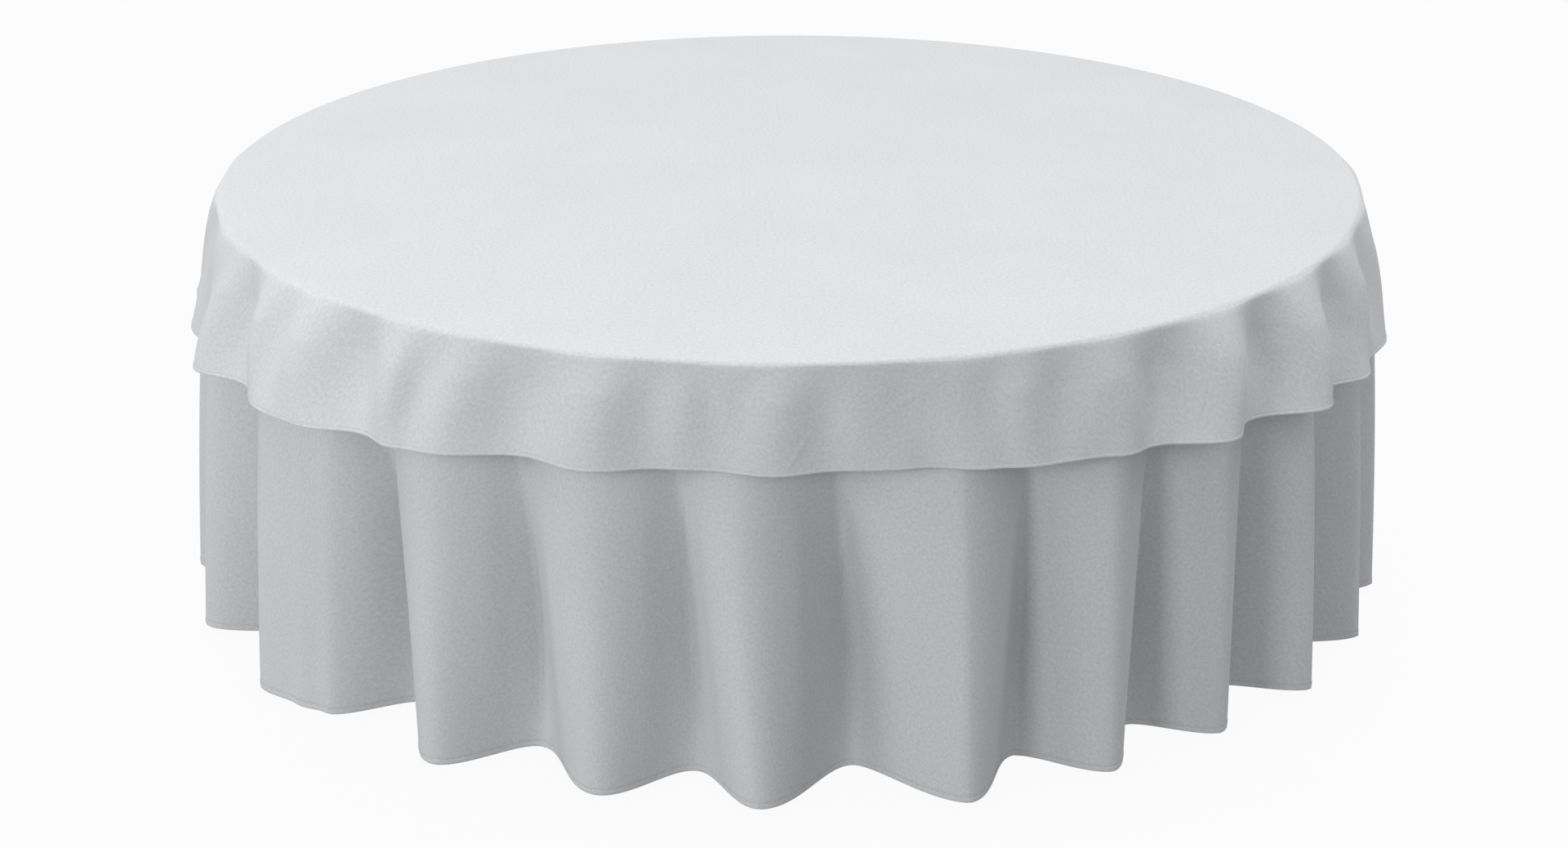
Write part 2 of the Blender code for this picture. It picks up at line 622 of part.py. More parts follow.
def build_frame(label, side, finishes):
    """Builds one folding leg frame, its brackets and its brace."""
    steel = finishes["steel"]
    zinc = finishes["zinc"]
    pivot_tube(f"pivot_tube_{label}", side, steel)
    stretcher(f"stretcher_{label}", side, steel)
    for place, end in (("front", -1), ("back", 1)):
        leg(f"leg_{label}_{place}", side, end, steel)
        foot_glide(f"foot_glide_{label}_{place}", side, end, finishes["glide"])
        pivot_bracket(f"pivot_bracket_{label}_{place}", side, end, zinc)
        for mark, x in zip("ab", screw_xs(side)):
            screw(f"screw_{label}_{place}_{mark}", x, end, zinc)
    brace_bracket(f"brace_bracket_{label}", side, zinc)
    upper_link(f"brace_upper_link_{label}", side, steel)
    lower_link(f"brace_lower_link_{label}", side, steel)
    brace_top_pin(f"brace_top_pin_{label}", side, zinc)
    brace_knee_rivet(f"brace_knee_rivet_{label}", side, zinc)


def main():
    """Builds the whole object."""
    clear_scene()
    finishes = {
        "plywood": material("plywood", (0.72, 0.55, 0.36), 0.55),
        "vinyl": material("vinyl_edge", (0.16, 0.10, 0.07), 0.50),
        "hardwood": material("hardwood", (0.62, 0.44, 0.27), 0.60),
        "steel": material("powder_coated_steel", (0.16, 0.16, 0.17), 0.45, 0.3),
        "zinc": material("zinc_plated_steel", (0.62, 0.63, 0.64), 0.35, 1.0),
        "glide": material("glide_plastic", (0.05, 0.05, 0.05), 0.60),
        "under": material("under_cloth_fabric", (0.74, 0.75, 0.77), 0.90),
        "overlay": material("overlay_fabric", (0.78, 0.79, 0.81), 0.90),
    }
    build_top(finishes)
    for label, side in (("left", -1), ("right", 1)):
        build_frame(label, side, finishes)
    under_cloth("under_cloth", finishes["under"])
    overlay_cloth("overlay_cloth", finishes["overlay"])


main()
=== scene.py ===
"""A round banquet table dressed with a floor-length cloth and a short overlay.

Everything is in metres with +Z up and the table's axis on Z. Bearings are in degrees from the
front (-Y), growing towards the right (+X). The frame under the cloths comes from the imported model.
"""
import bisect
import logging
import math
from dataclasses import dataclass, field
from enum import Enum
from typing import Iterable

import bmesh
import bpy
from mathutils import Matrix, Vector, noise


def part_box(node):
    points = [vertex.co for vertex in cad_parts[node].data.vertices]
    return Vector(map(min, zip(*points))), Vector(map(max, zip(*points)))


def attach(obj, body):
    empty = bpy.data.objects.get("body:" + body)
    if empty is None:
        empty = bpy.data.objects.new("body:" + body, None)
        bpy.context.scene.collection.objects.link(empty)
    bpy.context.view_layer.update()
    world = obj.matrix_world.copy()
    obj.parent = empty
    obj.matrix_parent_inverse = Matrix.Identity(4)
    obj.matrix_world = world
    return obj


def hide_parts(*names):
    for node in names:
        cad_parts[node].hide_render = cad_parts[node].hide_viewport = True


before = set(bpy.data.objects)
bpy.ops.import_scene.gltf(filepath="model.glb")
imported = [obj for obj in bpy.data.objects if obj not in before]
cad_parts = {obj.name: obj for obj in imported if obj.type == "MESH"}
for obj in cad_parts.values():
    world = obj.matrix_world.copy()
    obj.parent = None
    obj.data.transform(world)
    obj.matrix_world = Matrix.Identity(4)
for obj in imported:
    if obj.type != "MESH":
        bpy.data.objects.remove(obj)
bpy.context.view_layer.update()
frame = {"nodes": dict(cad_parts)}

LOG = logging.getLogger("banquet_table")
Mark = tuple[float, float]
Point = tuple[float, float, float]
Colour = tuple[float, float, float]
Crease = tuple[float, float, float, float, float]

# Turning points of the floor-length cloth at its hem: bearing, and how far the cloth stands out of
# (or, below zero, goes in under) the table's edge, as a share of the edge's radius.
FLOOR_FOLDS: tuple[Mark, ...] = (
    (-168.0, 0.050), (-160.5, -0.055), (-151.5, 0.062), (-144.0, -0.050), (-136.0, 0.058),
    (-128.5, -0.062), (-121.0, 0.066), (-114.0, -0.048), (-107.0, 0.064), (-100.0, -0.054),
    (-93.5, 0.074), (-87.0, -0.036), (-80.5, 0.097), (-73.5, -0.035), (-67.0, 0.104),
    (-60.0, -0.045), (-52.5, 0.098), (-48.0, 0.080), (-45.0, 0.062), (-40.0, -0.065),
    (-31.6, 0.071), (-24.4, -0.056), (-16.4, 0.050), (-8.8, -0.054), (-2.5, 0.050),
    (6.1, -0.078), (14.8, 0.066), (21.6, -0.046), (28.1, 0.063), (34.5, -0.044),
    (40.2, 0.068), (47.0, -0.036), (52.0, 0.090), (58.0, -0.030), (64.0, 0.090),
    (70.0, -0.030), (75.5, 0.084), (82.5, -0.044), (89.0, 0.072), (96.0, -0.058),
    (103.5, 0.066), (110.5, -0.050), (118.0, 0.062), (125.5, -0.060), (133.0, 0.064),
    (140.0, -0.046), (147.0, 0.058), (154.5, -0.062), (162.5, 0.054), (169.0, -0.044),
    (176.0, 0.050), (184.0, -0.066),
)

# Turning points of the overlay at its hem, in the same terms.
OVERLAY_WAVES: tuple[Mark, ...] = (
    (-172.0, 0.058), (-164.0, 0.036), (-154.0, 0.060), (-147.0, 0.046), (-138.0, 0.072),
    (-127.0, 0.044), (-117.0, 0.072), (-109.0, 0.052), (-100.0, 0.070), (-94.0, 0.054),
    (-87.0, 0.066), (-80.0, 0.048), (-73.5, 0.066), (-67.0, 0.054), (-60.5, 0.100),
    (-53.5, 0.064), (-48.5, 0.104), (-45.0, 0.098), (-42.0, 0.103), (-36.0, 0.069),
    (-32.5, 0.084), (-22.0, 0.040), (-17.0, 0.055), (-8.4, 0.024), (-1.7, 0.038),
    (5.0, 0.023), (9.0, 0.029), (11.2, 0.026), (16.5, 0.049), (22.8, 0.062), (25.4, 0.058),
    (28.0, 0.064), (29.8, 0.060), (36.8, 0.100), (41.0, 0.055), (48.3, 0.108), (53.0, 0.060),
    (57.8, 0.098), (63.0, 0.062), (68.0, 0.074), (75.0, 0.048), (83.0, 0.060), (91.0, 0.046),
    (100.0, 0.068), (108.0, 0.048), (118.0, 0.070), (128.0, 0.044), (138.0, 0.066),
    (147.0, 0.040), (157.0, 0.062), (166.0, 0.038), (177.0, 0.060), (182.0, 0.040),
)

# Soft ripples in the overlay's skirt: bearing of each crest (above zero) and hollow (below).
OVERLAY_RIPPLES: tuple[Mark, ...] = (
    (-171.0, 0.6), (-163.0, -0.6), (-156.0, 0.5), (-149.0, -0.4), (-141.0, 0.5), (-133.0, -0.6),
    (-126.0, 0.4), (-119.0, -0.5), (-112.0, 0.5), (-104.0, -0.6), (-97.0, 0.5), (-90.0, -0.5),
    (-83.0, 0.5), (-76.0, -0.5), (-70.0, 0.5), (-65.0, -0.6), (-61.0, 0.9), (-56.5, -1.3),
    (-52.0, 0.9), (-49.0, -0.4), (-45.5, 1.3), (-39.0, -1.9), (-34.0, 1.2), (-31.5, -0.6),
    (-28.0, 1.2), (-22.5, -1.6), (-15.5, 1.1), (-11.5, -0.5), (-8.7, 0.5), (-5.5, -0.4),
    (-1.0, 1.0), (3.0, -0.5), (5.7, 0.2), (9.5, -0.6), (14.0, 0.5), (16.5, -0.1), (19.0, 0.8),
    (22.5, -1.1), (27.5, 1.2), (32.0, -1.7), (39.5, 1.1), (45.0, -1.6), (50.5, 1.2), (57.5, -1.3),
    (63.5, 0.9), (67.5, -0.5), (74.0, 0.5), (81.0, -0.5), (88.0, 0.5), (95.0, -0.4), (103.0, 0.5),
    (111.0, -0.5), (119.0, 0.5), (127.0, -0.5), (135.0, 0.5), (144.0, -0.5), (152.0, 0.4),
    (160.0, -0.5), (168.0, 0.5), (176.0, -0.5),
)

# Faint creases left by folding: bearing and share of the overlay's drop at the middle, how far
# the crease is turned from hanging straight down (degrees), its length and its width (metres).
CREASES: tuple[Crease, ...] = (
    (-5.5, 0.30, 38.0, 0.150, 0.0070), (-3.0, 0.22, 74.0, 0.130, 0.0080),
    (0.8, 0.76, -36.0, 0.110, 0.0065), (4.2, 0.60, -24.0, 0.070, 0.0080),
    (9.5, 0.35, -62.0, 0.140, 0.0080), (13.0, 0.60, 42.0, 0.090, 0.0080),
    (26.0, 0.42, 48.0, 0.100, 0.0050), (31.0, 0.55, -40.0, 0.110, 0.0050),
    (35.5, 0.62, -28.0, 0.090, 0.0045), (-27.0, 0.50, 30.0, 0.080, 0.0060),
    (-64.0, 0.50, -35.0, 0.100, 0.0060), (84.0, 0.45, 40.0, 0.110, 0.0060),
    (128.0, 0.55, -40.0, 0.120, 0.0060), (-128.0, 0.40, 50.0, 0.110, 0.0060),
    (172.0, 0.50, 35.0, 0.120, 0.0060),
)

# Which finish each family of carried-over pieces has.
NODE_FINISHES: dict[str, str] = {
    "top_panel": "plywood", "edge_band": "vinyl_edge", "runner": "hardwood",
    "center_cleat": "hardwood", "pivot_tube": "frame_steel", "leg_": "frame_steel",
    "stretcher": "frame_steel", "brace_upper": "frame_steel", "brace_lower": "frame_steel",
    "foot_glide": "glide_plastic", "pivot_bracket": "zinc_steel", "screw": "zinc_steel",
    "brace_bracket": "zinc_steel", "brace_top_pin": "zinc_steel",
    "brace_knee_rivet": "zinc_steel",
}


class Lay(Enum):
    """Which of the two cloths a sheet is."""

    FLOOR = "floor"
    OVERLAY = "overlay"


# --------------------------------------------------------------------------------------------
# Small tools


def ease(first: float, second: float, share: float) -> float:
    """Eases from one value to another with a half cosine."""
    return first + (second - first) * (1.0 - math.cos(math.pi * share)) / 2.0


def flank(share: float, pinch: float) -> float:
    """Returns how far down a fold's flank lies.

    Args:
        share: The way from the crest (0) to the valley (1).
        pinch: 0 for a valley as round as the crest, 1 for a narrow one with steep sides.

    Returns:
        The share of the fold's depth.
    """
    steep = 1.0 - math.cos(math.pi * share / 2.0)
    return pinch * steep + (1.0 - pinch) * ease(0.0, 1.0, share)


class FoldRing:
    """A closed ring of turning points, read at any bearing with smooth steps between them."""

    def __init__(self, marks: tuple[Mark, ...]) -> None:
        """Joins the turning points into a ring.

        Args:
            marks: The turning points in growing order of bearing, once round.
        """
        self.bearings = [bearing for bearing, _ in marks] + [marks[0][0] + 360.0]
        self.values = [value for _, value in marks] + [marks[0][1]]

    def at(self, bearing: float, pinch: float = 0.0, plane: float = 0.0) -> float:
        """Reads the ring.

        Args:
            bearing: Where, in degrees.
            pinch: How narrow the valleys are, from 0 to 1.
            plane: How flat the sides that climb to the right are, from 0 to 1.

        Returns:
            The value there.
        """
        start = self.bearings[0]
        turned = (bearing - start) % 360.0 + start
        after = min(max(bisect.bisect_right(self.bearings, turned), 1), len(self.bearings) - 1)
        low, high = self.bearings[after - 1], self.bearings[after]
        first, second = self.values[after - 1], self.values[after]
        share = (turned - low) / (high - low)
        if first > second:
            return first + (second - first) * flank(share, pinch)
        round_side = second + (first - second) * flank(1.0 - share, pinch)
        return (1.0 - plane) * round_side + plane * (first + (second - first) * share)


def soft_most(first: float, second: float, width: float) -> float:
    """Returns the larger of two numbers, rounding the corner where they cross."""
    gap = first - second
    return (first + second + math.sqrt(gap * gap + width * width)) / 2.0


def direction(bearing: float) -> Vector:
    """Returns the level unit vector of a bearing."""
    turn = math.radians(bearing)
    return Vector((math.sin(turn), -math.cos(turn), 0.0))


def profile_spin(points: Iterable[Point], steps: int, closed: bool) -> bmesh.types.BMesh:
    """Spins a profile once round Z.

    Args:
        points: The profile's corners, in the XZ plane.
        steps: How many steps the full turn has.
        closed: Whether the last corner joins the first.

    Returns:
        The spun bmesh, its doubles merged.
    """
    bm = bmesh.new()
    verts = [bm.verts.new(point) for point in points]
    edges = [bm.edges.new(pair) for pair in zip(verts, verts[1:])]
    if closed:
        edges.append(bm.edges.new((verts[-1], verts[0])))
    bmesh.ops.spin(bm, geom=[*verts, *edges], cent=(0, 0, 0), axis=(0, 0, 1), dvec=(0, 0, 0),
                   angle=math.tau, steps=steps, use_merge=True)
    bmesh.ops.remove_doubles(bm, verts=bm.verts, dist=1e-7)
    bmesh.ops.recalc_face_normals(bm, faces=bm.faces)
    return bm


def write_flat_map(bm: bmesh.types.BMesh, pattern: dict[bmesh.types.BMVert, Mark]) -> None:
    """Writes the UV map called flat.

    Args:
        bm: The shape.
        pattern: Each vertex's place on the flat cloth, in metres.
    """
    flat = bm.loops.layers.uv.new("flat")
    for face in bm.faces:
        for loop in face.loops:
            loop[flat].uv = pattern[loop.vert]


def to_piece(name: str, bm: bmesh.types.BMesh, finish: bpy.types.Material) -> bpy.types.Object:
    """Closes a bmesh into a smooth-shaded object at the origin.

    Args:
        name: The piece's name.
        bm: The shape, which is freed.
        finish: Its material.

    Returns:
        The new object.
    """
    mesh = bpy.data.meshes.new(name)
    bm.to_mesh(mesh)
    bm.free()
    mesh.materials.append(finish)
    mesh.shade_smooth()
    piece = bpy.data.objects.new(name, mesh)
    bpy.context.scene.collection.objects.link(piece)
    return piece


# --------------------------------------------------------------------------------------------
# Finishes


@dataclass(frozen=True)
class Finish:
    """A material's name and its plain values; subclasses add the surface's own detail."""

    name: str
    colour: Colour
    roughness: float
    metallic: float = 0.0

    def start(self) -> tuple[bpy.types.Material, bpy.types.NodeTree, bpy.types.Node]:
        """Makes the material with its plain values.

        Returns:
            The material, its node tree and its main shader.
        """
        made = bpy.data.materials.new(self.name)
        made.use_nodes = True
        tree = made.node_tree
        shader = tree.nodes["Principled BSDF"]
        shader.inputs["Base Color"].default_value = (*self.colour, 1.0)
        shader.inputs["Roughness"].default_value = self.roughness
        shader.inputs["Metallic"].default_value = self.metallic
        made.diffuse_color = (*self.colour, 1.0)
        return made, tree, shader

    def make(self) -> bpy.types.Material:
        """Returns the finished material."""
        return self.start()[0]


def add(tree: bpy.types.NodeTree, kind: str, **values: object) -> bpy.types.Node:
    """Adds a node and sets its properties.

    Args:
        tree: The node tree.
        kind: The node's type name.
        **values: Properties, or inputs by name with spaces as underscores.

    Returns:
        The new node.
    """
    node = tree.nodes.new(kind)
    for key, value in values.items():
        socket = node.inputs.get(key.replace("_", " "))
        if hasattr(node, key):
            setattr(node, key, value)
        elif socket is not None:
            socket.default_value = value
        else:
            raise AttributeError(f"{kind} has no {key}")
    return node


def ramp(tree: bpy.types.NodeTree, source: bpy.types.NodeSocket,
         stops: Iterable[tuple[float, Colour]]) -> bpy.types.Node:
    """Adds a colour ramp on a value.

    Args:
        tree: The node tree.
        source: The socket that drives it.
        stops: Positions with their colours.

    Returns:
        The ramp node.
    """
    node = tree.nodes.new("ShaderNodeValToRGB")
    stops = list(stops)
    while len(node.color_ramp.elements) < len(stops):
        node.color_ramp.elements.new(0.5)
    for element, (position, colour) in zip(node.color_ramp.elements, stops):
        element.position = position
        element.color = (*colour, 1.0)
    tree.links.new(source, node.inputs["Fac"])
    return node


def arithmetic(tree: bpy.types.NodeTree, operation: str, *values: object) -> bpy.types.NodeSocket:
    """Adds a Math node.

    Args:
        tree: The node tree.
        operation: The operation's name.
        *values: Up to three sockets or numbers.

    Returns:
        The output socket.
    """
    node = add(tree, "ShaderNodeMath", operation=operation)
    for socket, value in zip(node.inputs, values):
        if isinstance(value, bpy.types.NodeSocket):
            tree.links.new(value, socket)
        else:
            socket.default_value = value
    return node.outputs[0]


def multiplied(tree: bpy.types.NodeTree, first: bpy.types.NodeSocket,
               second: bpy.types.NodeSocket) -> bpy.types.NodeSocket:
    """Multiplies two colours.

    Args:
        tree: The node tree.
        first: A colour's socket.
        second: Another colour's socket.

    Returns:
        The product's socket.
    """
    node = add(tree, "ShaderNodeMix", data_type="RGBA", blend_type="MULTIPLY")
    factor, one, two = (node.inputs[index] for index in (0, 6, 7))
    factor.default_value = 1.0
    tree.links.new(first, one)
    tree.links.new(second, two)
    return node.outputs[2]


def bump(tree: bpy.types.NodeTree, shader: bpy.types.Node, height: bpy.types.NodeSocket,
         distance: float, strength: float = 1.0,
         under: bpy.types.NodeSocket | None = None) -> bpy.types.NodeSocket:
    """Adds a bump to a shader, on top of another bump if one is given.

    Args:
        tree: The node tree.
        shader: The shader that takes the normal.
        height: The height's socket, from 0 to 1.
        distance: The height in metres.
        strength: How much of it shows.
        under: A normal to build on.

    Returns:
        The bumped normal's socket.
    """
    node = add(tree, "ShaderNodeBump", Strength=strength, Distance=distance)
    tree.links.new(height, node.inputs["Height"])
    if under is not None:
        tree.links.new(under, node.inputs["Normal"])
    tree.links.new(node.outputs["Normal"], shader.inputs["Normal"])
    return node.outputs["Normal"]


@dataclass(frozen=True)
class WovenCloth(Finish):
    """Plain-woven table linen: crossing threads, slubs, a soft nap and a faint mottle."""

    thread: float = 0.0011
    weave_depth: float = 0.00010
    slub: tuple[float, float] = (14.0, 420.0)
    slub_depth: float = 0.00022
    nap: float = 170.0
    nap_depth: float = 0.0009
    sheen: float = 0.20
    pale: float = 1.10
    deep: float = 0.89
    creases: tuple[Crease, ...] = ()
    crease_depth: float = 0.0009

    def make(self) -> bpy.types.Material:
        """Makes the linen, whose pattern follows the cloth's own flat UV map.

        Returns:
            The finished material.
        """
        made, tree, shader = self.start()
        shader.inputs["Sheen Weight"].default_value = self.sheen
        shader.inputs["Sheen Roughness"].default_value = 0.55
        shader.inputs["Specular IOR Level"].default_value = 0.25
        uv = add(tree, "ShaderNodeUVMap", uv_map="flat")
        self._colour(tree, shader, uv.outputs["UV"])
        self._weave(tree, shader, uv.outputs["UV"])
        return made

    def _colour(self, tree: bpy.types.NodeTree, shader: bpy.types.Node,
                uv: bpy.types.NodeSocket) -> None:
        """Mottles the colour at the scale of the yarn and at that of the whole cloth.

        Args:
            tree: The material's node tree.
            shader: Its main shader.
            uv: The cloth's flat map.
        """
        fine = add(tree, "ShaderNodeTexNoise", Scale=self.nap, Detail=4.0, Roughness=0.75)
        broad = add(tree, "ShaderNodeTexNoise", Scale=3.2, Detail=3.0, Roughness=0.55)
        tree.links.new(uv, fine.inputs["Vector"])
        tree.links.new(uv, broad.inputs["Vector"])
        low = tuple(channel * self.deep for channel in self.colour)
        high = tuple(min(1.0, channel * self.pale) for channel in self.colour)
        grain = ramp(tree, fine.outputs["Fac"], ((0.32, low), (0.68, high)))
        wash = ramp(tree, broad.outputs["Fac"],
                    ((0.30, (0.965, 0.968, 0.972)), (0.62, (1.0, 1.0, 1.0))))
        mottled = multiplied(tree, grain.outputs["Color"], wash.outputs["Color"])
        tree.links.new(mottled, shader.inputs["Base Color"])

    def _weave(self, tree: bpy.types.NodeTree, shader: bpy.types.Node,
               uv: bpy.types.NodeSocket) -> None:
        """Raises the crossing threads, then the slubs, the nap and the creases.

        Args:
            tree: The material's node tree.
            shader: Its main shader.
            uv: The cloth's flat map.
        """
        split = add(tree, "ShaderNodeSeparateXYZ")
        tree.links.new(uv, split.inputs["Vector"])
        turns = math.pi / self.thread
        warp, weft = (
            arithmetic(tree, "SINE", arithmetic(tree, "MULTIPLY", split.outputs[axis], turns))
            for axis in "XY")
        cross = arithmetic(tree, "MULTIPLY", warp, weft)
        rows = arithmetic(tree, "MULTIPLY_ADD", cross, 0.5, 0.5)
        under = bump(tree, shader, rows, self.weave_depth, 0.8)
        for along, across in (self.slub, self.slub[::-1]):
            mapping = add(tree, "ShaderNodeMapping", Scale=(along, across, 1.0))
            slub = add(tree, "ShaderNodeTexNoise", Scale=1.0, Detail=2.0)
            tree.links.new(uv, mapping.inputs["Vector"])
            tree.links.new(mapping.outputs["Vector"], slub.inputs["Vector"])
            under = bump(tree, shader, slub.outputs["Fac"], self.slub_depth, 0.6, under)
        nap = add(tree, "ShaderNodeTexNoise", Scale=self.nap, Detail=4.0, Roughness=0.65)
        tree.links.new(uv, nap.inputs["Vector"])
        under = bump(tree, shader, nap.outputs["Fac"], self.nap_depth, 0.45, under)
        if self.creases:
            bump(tree, shader, self._ridges(tree, uv), self.crease_depth, 0.7, under)

    def _ridges(self, tree: bpy.types.NodeTree, uv: bpy.types.NodeSocket) -> bpy.types.NodeSocket:
        """Gathers the creases, each a long thin ridge that fades out along its length.

        Args:
            tree: The material's node tree.
            uv: The cloth's flat map.

        Returns:
            The height of the creases, from 0 to 1.
        """
        height: object = 0.0
        for x, y, turn, length, width in self.creases:
            mapping = add(tree, "ShaderNodeMapping", vector_type="TEXTURE", Location=(x, y, 0.0),
                          Rotation=(0.0, 0.0, turn), Scale=(length / 2, width, 1.0))
            ridge = add(tree, "ShaderNodeTexGradient", gradient_type="SPHERICAL")
            tree.links.new(uv, mapping.inputs["Vector"])
            tree.links.new(mapping.outputs["Vector"], ridge.inputs["Vector"])
            height = arithmetic(tree, "MAXIMUM", ridge.outputs["Fac"], height)
        return height


@dataclass(frozen=True)
class Timber(Finish):
    """Sawn wood with long grain, figure and open pores, on Object coordinates."""

    dark: Colour = (0.30, 0.17, 0.08)
    grain: float = 26.0
    plies: float = 0.0

    def make(self) -> bpy.types.Material:
        """Makes the wood, with the layers of its plies on the edges where it has them.

        Returns:
            The finished material.
        """
        made, tree, shader = self.start()
        place = add(tree, "ShaderNodeTexCoord").outputs["Object"]
        mapping = add(tree, "ShaderNodeMapping", Scale=(1.6, self.grain, self.grain))
        tree.links.new(place, mapping.inputs["Vector"])
        figure = add(tree, "ShaderNodeTexNoise", Scale=1.0, Detail=6.0, Roughness=0.6,
                     Distortion=0.6)
        pores = add(tree, "ShaderNodeTexNoise", Scale=9.0, Detail=3.0)
        tree.links.new(mapping.outputs["Vector"], figure.inputs["Vector"])
        tree.links.new(mapping.outputs["Vector"], pores.inputs["Vector"])
        colour = ramp(tree, figure.outputs["Fac"],
                      ((0.28, self.dark), (0.52, self.colour),
                       (0.75, tuple(min(1.0, c * 1.18) for c in self.colour))))
        result = colour.outputs["Color"]
        if self.plies:
            split = add(tree, "ShaderNodeSeparateXYZ")
            tree.links.new(place, split.inputs["Vector"])
            layer = arithmetic(tree, "PINGPONG", split.outputs["Z"], self.plies)
            layer = arithmetic(tree, "DIVIDE", layer, self.plies)
            band = ramp(tree, layer, ((0.35, (0.62, 0.60, 0.58)), (0.60, (1.0, 1.0, 1.0))))
            result = multiplied(tree, result, band.outputs["Color"])
        tree.links.new(result, shader.inputs["Base Color"])
        bump(tree, shader, pores.outputs["Fac"], 0.0004, 0.5)
        return made


@dataclass(frozen=True)
class Coated(Finish):
    """A coated or moulded surface: a fine texture with uneven gloss and worn patches."""

    texture: float = 700.0
    depth: float = 0.00012
    worn: Colour = (0.3, 0.3, 0.3)

    def make(self) -> bpy.types.Material:
        """Makes the coating.

        Returns:
            The finished material.
        """
        made, tree, shader = self.start()
        place = add(tree, "ShaderNodeTexCoord").outputs["Object"]
        peel = add(tree, "ShaderNodeTexNoise", Scale=self.texture, Detail=3.0)
        patch = add(tree, "ShaderNodeTexNoise", Scale=14.0, Detail=5.0, Roughness=0.6)
        tree.links.new(place, peel.inputs["Vector"])
        tree.links.new(place, patch.inputs["Vector"])
        colour = ramp(tree, patch.outputs["Fac"],
                      ((0.40, self.colour), (0.66, self.colour), (0.74, self.worn)))
        gloss = ramp(tree, patch.outputs["Fac"],
                     ((0.30, (self.roughness * 0.8,) * 3), (0.70, (self.roughness * 1.2,) * 3)))
        tree.links.new(colour.outputs["Color"], shader.inputs["Base Color"])
        tree.links.new(gloss.outputs["Color"], shader.inputs["Roughness"])
        bump(tree, shader, peel.outputs["Fac"], self.depth, 0.7)
        return made


@dataclass
class Finishes:
    """Every finish of the table, made once."""

    creases: tuple[Crease, ...]
    floor_cloth: bpy.types.Material = field(init=False)
    overlay: bpy.types.Material = field(init=False)
    thread: bpy.types.Material = field(init=False)
    frame: dict[str, bpy.types.Material] = field(init=False)

    def __post_init__(self) -> None:
        """Makes the materials."""
        self.floor_cloth = WovenCloth("floor_cloth_linen", (0.624, 0.630, 0.640), 0.88).make()
        self.overlay = WovenCloth("overlay_linen", (0.624, 0.630, 0.640), 0.88,
                                  creases=self.creases).make()
        self.thread = Coated("hem_thread", (0.72, 0.73, 0.745), 0.70, texture=1800.0,
                             worn=(0.68, 0.69, 0.70)).make()
        self.frame = {
            "plywood": Timber("birch_plywood", (0.62, 0.46, 0.28), 0.55, dark=(0.44, 0.29, 0.15),
                              plies=0.0016).make(),
            "hardwood": Timber("beech_batten", (0.50, 0.31, 0.17), 0.60, grain=34.0).make(),
            "vinyl_edge": Coated("brown_vinyl_edging", (0.10, 0.060, 0.040), 0.48,
                                 worn=(0.15, 0.10, 0.075)).make(),
            "frame_steel": Coated("grey_powder_coat", (0.085, 0.085, 0.092), 0.42,
                                  worn=(0.14, 0.14, 0.15)).make(),
            "zinc_steel": Coated("zinc_plated_steel", (0.62, 0.63, 0.64), 0.34, 1.0,
                                 texture=260.0, depth=0.00004, worn=(0.48, 0.50, 0.53)).make(),
            "glide_plastic": Coated("black_glide_plastic", (0.022, 0.022, 0.024), 0.55,
                                    texture=1200.0, worn=(0.05, 0.05, 0.052)).make(),
        }


# --------------------------------------------------------------------------------------------
# The cloths


